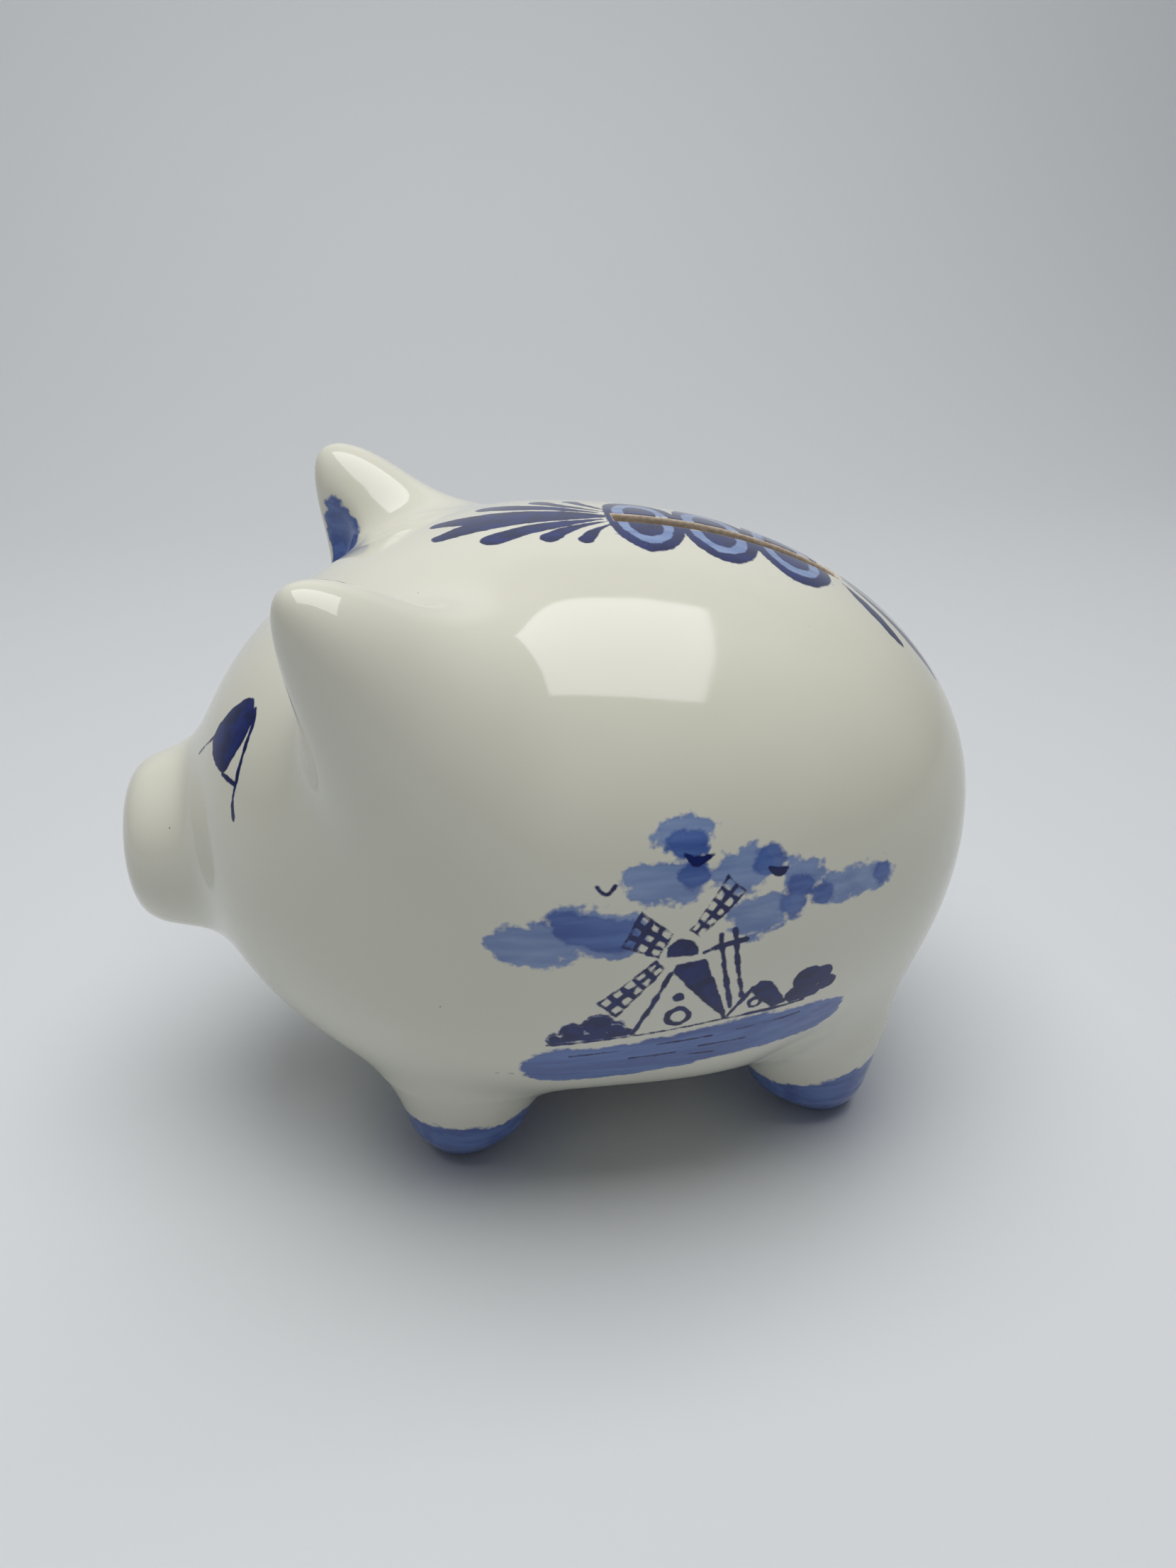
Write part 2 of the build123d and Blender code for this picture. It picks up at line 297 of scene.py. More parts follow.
def field(p):
    """Negative inside the clay."""
    body, snout, ear, front, rear = clay_parts(p)
    skin = smooth_min(body, snout, SNOUT_BLEND)
    skin = smooth_min(skin, ear, EAR_BLEND)
    skin = smooth_min(skin, front, FOOT_BLEND)
    skin = smooth_min(skin, rear, FOOT_BLEND)
    at_rump = p[:, 0] > CENTRE[0] + 30
    if at_rump.any():
        share = np.clip(tail_distance(p[at_rump]) / (0.75 * TAIL_STROKE), 0, 1)
        skin[at_rump] -= TAIL_RELIEF * (1 - share**2) ** 2
    at_nose = p[:, 0] < SNOUT_FRONT + 5
    if at_nose.any():
        nose = p[at_nose]
        share = np.hypot(np.abs(nose[:, 1]) - NOSTRIL_OUT, nose[:, 2] - SNOUT_Z) / NOSTRIL_RADIUS
        skin[at_nose] += NOSTRIL_DENT * (1 - np.clip(share, 0, 1) ** 2) ** 2
    slot_x = np.abs(p[:, 0] - SLOT_X) - SLOT_HALF_LENGTH
    slot = smooth_max(slot_x, np.abs(p[:, 1]) - SLOT_HALF_WIDTH, 0.8)
    slot = np.maximum(slot, CENTRE[2] - p[:, 2])
    away = np.hypot(p[:, 0] - HOLE_X, p[:, 1])
    hole = np.maximum(away - HOLE_RADIUS, p[:, 2] - CENTRE[2])
    seat = np.maximum(away - SEAT_RADIUS, p[:, 2] - SEAT_Z)
    hollow = egg(p, -WALL)
    cut = smooth_min(smooth_min(slot, hole, 0.5), hollow, 0.8)
    cut = smooth_min(cut, seat, 0.3)
    return smooth_max(skin, -cut, LIP)


def gradient(p, step=0.02):
    columns = [(field(p + step * axis) - field(p - step * axis)) / (2 * step) for axis in np.eye(3)]
    return np.stack(columns, axis=1)


def onto_surface(p, rounds=3, most=0.6):
    """Moves points along the field's slope until they lie on the surface."""
    for _ in range(rounds):
        slope = gradient(p)
        square = np.maximum((slope**2).sum(axis=1), 0.05)
        shift = -(field(p) / square)[:, None] * slope
        length = np.linalg.norm(shift, axis=1, keepdims=True)
        p = p + shift * np.minimum(1, most / np.maximum(length, 1e-9))
    return p


# ---------------------------------------------------------------- brush shapes, in flat charts
def disc(u, v, place, radius, tall=None):
    """Signed distance to an ellipse."""
    tall = radius if tall is None else tall
    return (np.hypot((u - place[0]) / radius, (v - place[1]) / tall) - 1) * min(radius, tall)


def smooth_line(points, steps=6):
    """Points along a Catmull-Rom curve; a third number, the half width, is eased as well."""
    knots = np.array(points, float)
    knots = np.concatenate([[2 * knots[0] - knots[1]], knots, [2 * knots[-1] - knots[-2]]])
    line = []
    for a, b, c, d in zip(knots, knots[1:], knots[2:], knots[3:]):
        for t in np.arange(steps) / steps:
            line.append(b + 0.5 * t * (c - a + t * (2 * a - 5 * b + 4 * c - d + t * (3 * (b - c) + d - a))))
    return np.array(line + [knots[-2]])


def segment(u, v, a, b):
    """Signed distance to a straight stroke; a and b hold place and half width."""
    along = np.array(b[:2]) - a[:2]
    share = ((u - a[0]) * along[0] + (v - a[1]) * along[1]) / max(along @ along, 1e-9)
    share = np.clip(share, 0, 1)
    half = a[2] + (b[2] - a[2]) * share
    return np.hypot(u - a[0] - along[0] * share, v - a[1] - along[1] * share) - half


def stroke(u, v, points, half=None):
    """Brush stroke through points; each may carry its own half width."""
    points = [(*point[:2], half if half else point[2]) for point in points]
    line = smooth_line(points) if len(points) > 2 else np.array(points, float)
    best = np.full(len(u), 1e3)
    for a, b in zip(line, line[1:]):
        best = np.minimum(best, segment(u, v, a, b))
    return best


def outline(u, v, corners):
    """Signed distance to a closed outline with straight sides."""
    best = np.full(len(u), 1e3)
    inside = np.zeros(len(u), dtype=bool)
    for a, b in zip(corners, corners[1:] + corners[:1]):
        best = np.minimum(best, segment(u, v, (*a, 0), (*b, 0)))
        spans = (a[1] > v) != (b[1] > v)
        rise = b[1] - a[1] if b[1] != a[1] else 1e-9
        inside ^= spans & (u < (b[0] - a[0]) * (v - a[1]) / rise + a[0])
    return np.where(inside, -best, best)


def union(*fields):
    """The field of several shapes together."""
    return np.minimum.reduce(fields)


def sail(u, v, root, tip, root_half, tip_half, rows, columns):
    """Windmill sail: a tapering quad with rows and columns of unpainted windows."""
    root, tip = np.array(root), np.array(tip)
    length = np.linalg.norm(tip - root)
    ahead = (tip - root) / length
    along = (u - root[0]) * ahead[0] + (v - root[1]) * ahead[1]
    across = (v - root[1]) * ahead[0] - (u - root[0]) * ahead[1]
    share = np.clip(along / length, 0, 1)
    half = root_half + (tip_half - root_half) * share
    frame_field = np.maximum(np.abs(across) - half, np.abs(along - length / 2) - length / 2)
    row = length / rows
    column = 2 * half / columns
    from_row = np.abs((along / row) % 1 - 0.5) * row
    from_column = np.abs(((across + half) / column) % 1 - 0.5) * column
    window = np.maximum(from_row - 0.30 * row, from_column - 0.27 * column)
    return np.maximum(frame_field, -np.maximum(window, frame_field + 0.2))


# ---------------------------------------------------------------- painting
CHART_RADIUS = 46.0                         # of the cylinders that the flank and back unroll from
LINE = 0.36                                 # half width of a thin brush line
RIPPLE = 0.16


def landscape(u, v):
    """Windmill by the water under clouds: fields of the light, middle and dark blue.

    u runs from snout to rump along X, v up round the flank, both in mm from the chart's middle.
    """
    light = union(
        disc(u, v, (11.7, 15.6), 4.2, 2.6),
        stroke(u, v, [(6.8, 10.3), (12.4, 10.0)], 2.7),
        stroke(u, v, [(-10.3, 2.7), (-4.0, 3.2)], 3.0),
        disc(u, v, (19.7, 10.5), 4.2, 3.2),
        disc(u, v, (27.6, 8.8), 3.2, 2.6),
        disc(u, v, (22.0, 4.1), 4.1, 3.0),
        stroke(u, v, [(32.0, 5.8), (39.6, 6.4)], 2.2),
    )
    cloud = union(
        disc(u, v, (12.1, 14.6), 3.1, 1.7),
        disc(u, v, (13.0, 10.5), 1.9, 1.8),
        disc(u, v, (23.1, 11.4), 2.1, 2.0),
        disc(u, v, (27.4, 7.6), 2.2, 1.7),
        disc(u, v, (26.6, 4.8), 1.8, 2.2),
        disc(u, v, (30.8, 5.6), 1.8, 1.7),
        disc(u, v, (40.1, 6.6), 1.4, 1.7),
        disc(u, v, (-3.9, 6.0), 2.2, 1.1),
    )
    haze = stroke(u, v, [(-2.6, 4.9), (3.6, 3.5)], 3.2)
    water = stroke(u, v, [(-4.6, -20.2, 4.9), (7.0, -19.6, 4.9), (19.5, -17.4, 4.6), (32.6, -18.6, 4.2)])
    hill = union(
        disc(u, v, (-4.9, -12.9), 1.1),
        disc(u, v, (-2.5, -11.7), 1.7),
        disc(u, v, (0.8, -10.6), 2.1),
        disc(u, v, (3.2, -11.7), 1.5),
        disc(u, v, (4.7, -12.4), 0.8),
        outline(u, v, [(-5.6, -14.0), (-4.0, -11.8), (4.0, -11.6), (5.2, -13.2)]),
    )
    ground = [(-5.9, -14.2), (5.6, -13.2), (18.2, -12.1), (29.6, -12.4)]
    mill = union(
        stroke(u, v, [(10.2, -2.6), (5.4, -12.8)], 0.38),
        outline(u, v, [(10.2, -2.4), (10.8, -1.3), (14.6, -1.2), (17.9, -11.6)]),
        stroke(u, v, [(14.6, -1.4), (18.1, -11.9)], 0.4),
        np.maximum(disc(u, v, (11.6, 0.0), 2.2, 2.4), -0.2 - v),
        disc(u, v, (11.3, -6.6), 0.85, 0.75),
        np.abs(disc(u, v, (11.5, -10.2), 1.45, 1.5)) - 0.38,
        sail(u, v, (9.5, 1.5), (4.9, 4.2), 1.9, 2.7, 3, 3),
        sail(u, v, (13.2, 2.8), (18.8, 9.0), 0.9, 1.8, 5, 2),
        sail(u, v, (8.8, -1.1), (1.8, -7.8), 0.9, 1.95, 5, 2),
        stroke(u, v, [(16.7, 2.2), (17.5, -3.5), (18.7, -9.8)], LINE),
        stroke(u, v, [(18.6, 2.8), (19.2, -2.5), (20.2, -8.1)], LINE),
        stroke(u, v, [(14.5, 0.0), (17.0, 0.7), (20.1, 1.1)], LINE),
    )
    cottage = union(
        stroke(u, v, [(18.2, -12.0), (21.7, -7.1)], 0.33),
        outline(u, v, [(21.3, -7.5), (22.6, -6.2), (24.2, -6.5), (27.0, -11.6), (24.8, -11.9)]),
        np.abs(disc(u, v, (22.2, -10.0), 0.8)) - 0.28,
        disc(u, v, (28.2, -10.5), 1.5),
        disc(u, v, (29.9, -8.6), 2.3, 2.6),
        disc(u, v, (32.0, -8.4), 1.7),
        disc(u, v, (33.0, -10.3), 1.4),
        outline(u, v, [(27.2, -12.0), (28.0, -9.5), (33.4, -10.4), (31.5, -12.2)]),
    )
    ripples = union(
        stroke(u, v, [(-2.8, -17.1), (4.5, -16.4)], RIPPLE),
        stroke(u, v, [(5.5, -18.8), (11.9, -18.4)], RIPPLE),
        stroke(u, v, [(13.6, -19.6), (17.3, -19.9)], RIPPLE),
        stroke(u, v, [(9.0, -15.8), (16.7, -15.4)], RIPPLE),
        stroke(u, v, [(15.2, -17.6), (21.9, -17.8)], RIPPLE),
        stroke(u, v, [(20.3, -15.1), (29.5, -15.3)], RIPPLE),
    )
    birds = union(
        stroke(u, v, [(0.6, 10.1), (1.3, 9.4), (2.1, 9.2), (2.9, 10.0)], 0.25),
        stroke(u, v, [(11.9, 13.3, 0.2), (13.4, 12.3, 0.6), (15.7, 13.0, 0.2)]),
        stroke(u, v, [(23.1, 10.5, 0.2), (24.4, 9.7, 0.7), (25.7, 10.2, 0.2)]),
    )
    dark = union(mill, cottage, ripples, birds, stroke(u, v, ground, 0.22), np.abs(hill) - 0.15)
    return union(light, haze), union(cloud, haze + 0.9, water, hill), union(dark, hill + 0.25)


SCALLOPS = (9.9, 20.9, 31.9)                # their middles along the back


def crest(s, t):
    """Leaves and scallops round the coin slot; s runs along the back, t across it."""
    t = np.abs(t)
    leaves = union(
        stroke(s, t, [(4.6, 0.3, 0.3), (-2.0, 0.8, 1.6), (-8.0, 1.0, 2.3),
                      (-14.0, 1.6, 2.6), (-20.0, 3.4, 1.5)]),
        stroke(s, t, [(3.4, 1.7, 0.25), (-3.0, 4.2, 1.2), (-8.0, 6.0, 1.7), (-13.0, 8.2, 1.9)]),
        stroke(s, t, [(4.2, 2.6, 0.2), (-1.5, 6.0, 0.9), (-5.2, 9.4, 1.6)]),
        stroke(s, t, [(4.6, 3.8, 0.2), (1.6, 7.2, 0.8), (0.0, 10.2, 1.3)]),
        stroke(s, t, [(41.0, 0.4, 0.3), (49.0, 1.3, 2.0), (57.0, 1.9, 2.2), (64.0, 1.2, 0.5)]),
        stroke(s, t, [(41.3, 1.9, 0.2), (46.0, 6.0, 1.5), (51.0, 9.8, 1.7), (54.5, 12.4, 0.6)]),
        stroke(s, t, [(39.8, 4.2, 0.2), (42.5, 9.0, 1.3), (46.0, 13.0, 1.1), (47.5, 14.4, 0.3)]),
    )
    rings, edges, hearts = [], [], []
    for middle in SCALLOPS:
        scallop = disc(s, t, (middle, 2.0), 5.3, 10.2)
        rings.append(scallop)
        edges.append(np.abs(scallop + 0.3) - 0.75)
        hearts.append(disc(s, t, (middle, 3.0), 2.6, 4.8))
    beyond = np.maximum(SLOT_HALF_WIDTH - t, np.abs(s - SCALLOPS[1]) - 18)
    return np.maximum(union(*rings), beyond), union(*hearts, *edges, leaves)


EYE_PLACE = np.array([-46.0, 19.0, 73.0])
EYE_SIDE = np.array([0.42, 0.90, 0.0])       # along the face, away from the snout
EYE_UP = np.array([0.47, -0.22, 0.86])


def eye(q):
    """Iris with its outline on the far side, a tail below and a lash towards the snout."""
    a = (q - EYE_PLACE) @ EYE_SIDE
    b = (q - EYE_PLACE) @ EYE_UP
    lid = smooth_line([(1.9, 5.2), (-0.2, 6.2), (-3.0, 4.6), (-5.2, 1.6), (-6.2, -2.0), (-4.0, -4.0),
                       (0.8, -4.9), (2.2, -2.4), (3.0, 1.0), (2.9, 3.6), (1.9, 5.2)])
    ball = outline(a, b, [tuple(point) for point in lid[:-1]])
    lines = union(
        stroke(a, b, [(1.9, 5.4), (3.2, 3.8), (3.9, 1.2), (4.5, -2.0), (5.0, -4.6),
                      (5.3, -6.8), (6.4, -9.2)], LINE),
        stroke(a, b, [(0.8, -4.9), (5.0, -4.8)], LINE),
        stroke(a, b, [(-5.6, -1.8, 0.3), (-8.4, -4.2, 0.26), (-10.8, -6.4, 0.12)]),
    )
    return union(ball, lines)


def painting(p):
    """Signed distance, in mm, of every point from each blue, and from the bare clay."""
    q = mirrored(p)
    light, middle, dark = (np.full(len(p), 9.0) for _ in range(3))
    x, y, z = (q - CENTRE).T
    flank = (y > 25) & (np.abs(z) < 32) & (q[:, 0] > -22)
    u, v = q[flank, 0], CHART_RADIUS * np.arctan2(z[flank], y[flank])
    light[flank], middle[flank], dark[flank] = landscape(u, v)
    back = (z > 0) & (y < 20)
    s, t = CHART_RADIUS * np.arctan2(x[back], z[back]), y[back]
    rings, leaves = crest(s, t)
    light[back], dark[back] = union(light[back], rings), union(dark[back], leaves)
    face = (x < -38) & (z > 2) & (y > 2)
    dark[face] = union(dark[face], eye(q[face]))
    ears = (q[:, 0] < CENTRE[0] + 15) & (q[:, 2] > 50)
    cone, cup = ear_fields(q[ears])
    middle[ears] = union(middle[ears], cone + cup - EAR_PAINT)
    # the edge on the rear feet is higher and climbs towards the rump
    rearwards = np.clip(q[:, 0] / 20, 0, 1)
    edge = FOOT_PAINT + rearwards * (1.6 + 0.22 * (q[:, 0] - REAR_PAD[0]))
    middle = union(middle, 0.8 * (p[:, 2] - edge + 0.4 * np.sin(q[:, 0] / 2.5)))
    rump = x > 30
    dark[rump] = union(dark[rump], tail_distance(p[rump]) - 0.6 * TAIL_STROKE)
    snout = x < -HALF[0] - 3
    from_nostril = np.hypot(y[snout] - NOSTRIL_OUT, q[snout, 2] - SNOUT_Z)
    dark[snout] = union(dark[snout], from_nostril - NOSTRIL_PAINT)
    in_slot = np.maximum(np.abs(p[:, 0] - SLOT_X) - SLOT_HALF_LENGTH, np.abs(p[:, 1]) - SLOT_HALF_WIDTH)
    in_slot = np.maximum(in_slot - 0.3, CENTRE[2] - p[:, 2])
    bare = union(p[:, 2] - PAD_BARE, egg(p, -WALL / 2), in_slot)
    return {"light": light, "middle": middle, "dark": dark, "bare": bare}


# ---------------------------------------------------------------- meshing
def surface_net(low, high, cell):
    """Closed quad mesh of the field's zero surface on a regular grid."""
    counts = np.ceil((high - low) / cell).astype(int) + 1
    axes = [low[i] + cell * np.arange(counts[i]) for i in range(3)]
    grid = np.stack(np.meshgrid(*axes, indexing="ij"), axis=-1)
    values = field(grid.reshape(-1, 3)).reshape(counts)
    inside = values < 0
    cells = counts - 1
    total = np.zeros((*cells, 3))
    hits = np.zeros(cells)
    for axis in range(3):
        shape = counts.copy()
        shape[axis] -= 1
        one = [slice(None)] * 3
        two = [slice(None)] * 3
        one[axis] = slice(0, -1)
        two[axis] = slice(1, None)
        a, b = values[tuple(one)], values[tuple(two)]
        crossing = inside[tuple(one)] != inside[tuple(two)]
        share = np.where(crossing, a / np.where(crossing, a - b, 1), 0)
        points = grid[tuple(one)].copy()
        points[..., axis] += share * cell
        points *= crossing[..., None]
        others = [i for i in range(3) if i != axis]
        for da in (0, 1):
            for db in (0, 1):
                pick = [slice(None)] * 3
                pick[others[0]] = slice(da, da + cells[others[0]])
                pick[others[1]] = slice(db, db + cells[others[1]])
                total += points[tuple(pick)]
                hits += crossing[tuple(pick)]
    used = hits > 0
    index = np.full(cells, -1)
    index[used] = np.arange(used.sum())
    vertices = total[used] / hits[used][:, None]
    quads = []
    for axis in range(3):
        others = [i for i in range(3) if i != axis]
        one = [slice(None)] * 3
        two = [slice(None)] * 3
        one[axis] = slice(0, -1)
        two[axis] = slice(1, None)
        for i in others:
            one[i] = slice(1, -1)
            two[i] = slice(1, -1)
        a, b = inside[tuple(one)], inside[tuple(two)]
        where = np.argwhere(a != b)
        base = where.copy()
        corners = []
        for da, db in ((0, 0), (1, 0), (1, 1), (0, 1)):
            cell_at = base.copy()
            cell_at[:, others[0]] += da
            cell_at[:, others[1]] += db
            corners.append(index[tuple(cell_at.T)])
        quad = np.stack(corners, axis=1)
        outward = a[tuple(where.T)]
        flip = outward if axis != 1 else ~outward
        quad[~flip] = quad[~flip][:, ::-1]
        quads.append(quad)
    quads = np.concatenate(quads)
    triangles = np.concatenate([quads[:, [0, 1, 2]], quads[:, [0, 2, 3]]])
    return vertices, triangles


def refine(vertices, triangles, wanted):
    """Halves every edge longer than wanted(midpoint), and splits the triangles to match."""
    edges = np.concatenate([triangles[:, [0, 1]], triangles[:, [1, 2]], triangles[:, [2, 0]]])
    edges.sort(axis=1)
    edges, at = np.unique(edges, axis=0, return_inverse=True)
    at = at.reshape(3, -1).T
    middle = vertices[edges].mean(axis=1)
    length = np.linalg.norm(vertices[edges[:, 0]] - vertices[edges[:, 1]], axis=1)
    marked = length > wanted(middle)
    # a triangle with two marked edges gets its third marked too if that edge is the longest
    for _ in range(3):
        flags = marked[at]
        longest = length[at].argmax(axis=1)
        needs = flags.any(axis=1) & ~flags[np.arange(len(flags)), longest]
        marked[at[needs, longest[needs]]] = True
    new_index = np.full(len(edges), -1)
    new_index[marked] = len(vertices) + np.arange(marked.sum())
    vertices = np.concatenate([vertices, middle[marked]])
    mids = new_index[at]
    flags = mids >= 0
    count = flags.sum(axis=1)
    a, b, c = triangles.T
    out = [triangles[count == 0]]
    full = count == 3
    m = mids[full]
    t = triangles[full]
    out += [
        np.stack([t[:, 0], m[:, 0], m[:, 2]], axis=1),
        np.stack([m[:, 0], t[:, 1], m[:, 1]], axis=1),
        np.stack([m[:, 2], m[:, 1], t[:, 2]], axis=1),
        m,
    ]
    for k in range(3):
        turn = [k, (k + 1) % 3, (k + 2) % 3]
        # only edge k marked
        only = (count == 1) & flags[:, k]
        t, m = triangles[only][:, turn], mids[only][:, k]
        out += [np.stack([t[:, 0], m, t[:, 2]], axis=1), np.stack([m, t[:, 1], t[:, 2]], axis=1)]
        # edges k and k+1 marked
        both = (count == 2) & flags[:, k] & flags[:, (k + 1) % 3]
        t = triangles[both][:, turn]
        m1, m2 = mids[both][:, k], mids[both][:, (k + 1) % 3]
        out += [
            np.stack([m1, t[:, 1], m2], axis=1),
            np.stack([t[:, 0], m1, m2], axis=1),
            np.stack([t[:, 0], m2, t[:, 2]], axis=1),
        ]
    return vertices, np.concatenate(out)


def relax(vertices, triangles, rounds):
    """Evens out the mesh by moving points towards their neighbours along the surface."""
    edges = np.concatenate([triangles[:, [0, 1]], triangles[:, [1, 2]], triangles[:, [2, 0]]])
    for _ in range(rounds):
        total = np.zeros_like(vertices)
        hits = np.zeros(len(vertices))
        for i, j in ((0, 1), (1, 0)):
            np.add.at(total, edges[:, i], vertices[edges[:, j]])
            np.add.at(hits, edges[:, i], 1)
        vertices = vertices + 0.5 * (total / hits[:, None] - vertices)
        vertices = onto_surface(vertices, 1)
    return vertices


# ---------------------------------------------------------------- pieces
PIECES = ("body_shell", "snout", "ear_left", "ear_right", "foot_front_left", "foot_front_right",
          "foot_rear_left", "foot_rear_right", "tail")


def owner(p):
    """Which piece each point of the surface belongs to, as an index into PIECES."""
    body, snout, ear, front, rear = clay_parts(p)
    right = p[:, 1] > 0
    which = np.zeros(len(p), dtype=int)
    which[snout < body] = 1
    which[(ear < body) & ~right] = 2
    which[(ear < body) & right] = 3
    which[(front < body) & ~right] = 4
    which[(front < body) & right] = 5
    which[(rear < body) & ~right] = 6
    which[(rear < body) & right] = 7
    on_tail = (p[:, 0] > CENTRE[0] + 30) & (body > 0.02)
    which[on_tail & (tail_distance(p) < 0.7 * TAIL_STROKE)] = 8
    inside = egg(p, -WALL / 2) < 0
    which[inside] = 0
    return which


def tidy_owners(which, triangles, rounds=4):
    """Gives a triangle to the neighbours' piece where two of its three neighbours agree."""
    edges = np.concatenate([triangles[:, [0, 1]], triangles[:, [1, 2]], triangles[:, [2, 0]]])
    edges.sort(axis=1)
    order = np.lexsort((edges[:, 1], edges[:, 0]))
    face = np.tile(np.arange(len(triangles)), 3)
    paired = (edges[order][1:] == edges[order][:-1]).all(axis=1)
    first, second = order[:-1][paired], order[1:][paired]
    beside = np.tile(np.arange(len(triangles)), (3, 1))
    beside[first // len(triangles), face[first]] = face[second]
    beside[second // len(triangles), face[second]] = face[first]
    for _ in range(rounds):
        a, b, c = which[beside]
        which = np.where(a == b, a, np.where(b == c, b, np.where(a == c, a, which)))
    return which


def make_piece(name, vertices, triangles, normals, layers, material):
    used, flat = np.unique(triangles, return_inverse=True)
    flat = flat.reshape(-1)
    mesh = bpy.data.meshes.new(name)
    mesh.vertices.add(len(used))
    mesh.vertices.foreach_set("co", (vertices[used] * MM).ravel())
    mesh.loops.add(len(flat))
    mesh.loops.foreach_set("vertex_index", flat.astype(np.int32))
    mesh.polygons.add(len(triangles))
    mesh.polygons.foreach_set("loop_start", np.arange(0, len(flat), 3, dtype=np.int32))
    mesh.polygons.foreach_set("loop_total", np.full(len(triangles), 3, dtype=np.int32))
    mesh.update(calc_edges=True)
    mesh.polygons.foreach_set("use_smooth", np.ones(len(triangles), dtype=bool))
    for layer, values in layers.items():
        attribute = mesh.attributes.new(layer, "FLOAT", "POINT")
        attribute.data.foreach_set("value", values[used].astype(np.float32))
    mesh.normals_split_custom_set_from_vertices(normals[used])
    mesh.materials.append(material)
    piece = bpy.data.objects.new(name, mesh)
    bpy.context.scene.collection.objects.link(piece)
    return piece


# ---------------------------------------------------------------- clay mesh
def wanted_edge(p):
    """Longest edge allowed at a place, in mm."""
    size = np.full(len(p), 1.6)
    paint = painting(p)
    edge = union(*(np.abs(paint[layer]) for layer in ("light", "middle", "dark")))
    size[edge < 3.5] = 0.8
    size[edge < 1.2] = 0.45
    away = np.maximum(np.abs(p[:, 0] - SLOT_X) - SLOT_HALF_LENGTH, np.abs(p[:, 1]) - SLOT_HALF_WIDTH)
    size[(away < 2) & (p[:, 2] > CENTRE[2])] = 0.45
    rim = np.abs(np.hypot(p[:, 0] - HOLE_X, p[:, 1]) - SEAT_RADIUS) < 5
    size[rim & (p[:, 2] < SEAT_Z + 6)] = 0.6
    return size


low = np.array(cad_box[0]) / MM - 4
high = np.array(cad_box[1]) / MM + 4
vertices, triangles = surface_net(low, high, 1.6)
vertices = onto_surface(vertices, 4)
vertices = relax(vertices, triangles, 3)
for _ in range(5):
    before = len(vertices)
    vertices, triangles = refine(vertices, triangles, wanted_edge)
    vertices = onto_surface(vertices, 2, 0.3)
    if len(vertices) == before:
        break
normals = gradient(vertices)
normals /= np.linalg.norm(normals, axis=1, keepdims=True)
layers = painting(vertices)


# ---------------------------------------------------------------- materials
class Nodes:
    """Short spelling for building a material's nodes."""

    def __init__(self, name):
        self.material = bpy.data.materials.new(name)
        self.material.use_nodes = True
        self.tree = self.material.node_tree
        self.shader = self.tree.nodes["Principled BSDF"]

    def add(self, kind, inputs=(), **settings):
        node = self.tree.nodes.new(kind)
        for key, value in settings.items():
            setattr(node, key, value)
        for key, value in dict(inputs).items():
            self.put(node.inputs[key], value)
        return node

    def put(self, socket, value):
        if isinstance(value, bpy.types.NodeSocket):
            self.tree.links.new(value, socket)
        else:
            socket.default_value = value

    def layer(self, name):
        return self.add("ShaderNodeAttribute", attribute_name=name).outputs["Fac"]

    def math(self, operation, *values):
        node = self.add("ShaderNodeMath", dict(enumerate(values)), operation=operation)
        return node.outputs[0]

    def ramp(self, value, low, high, to_low=0.0, to_high=1.0):
        inputs = {"Value": value, "From Min": low, "From Max": high, "To Min": to_low, "To Max": to_high}
        return self.add("ShaderNodeMapRange", inputs, interpolation_type="SMOOTHSTEP").outputs[0]

    def noise(self, scale, stretch=(1, 1, 1), detail=3.0):
        place = self.add("ShaderNodeTexCoord").outputs["Object"]
        place = self.add("ShaderNodeMapping", {"Vector": place, "Scale": stretch}).outputs[0]
        return self.add("ShaderNodeTexNoise", {"Vector": place, "Scale": scale, "Detail": detail}).outputs[0]

    def mix(self, share, a, b):
        node = self.add("ShaderNodeMix", data_type="RGBA")
        self.put(node.inputs["Factor"], share)
        self.put(node.inputs[6], a)
        self.put(node.inputs[7], b)
        return node.outputs[2]


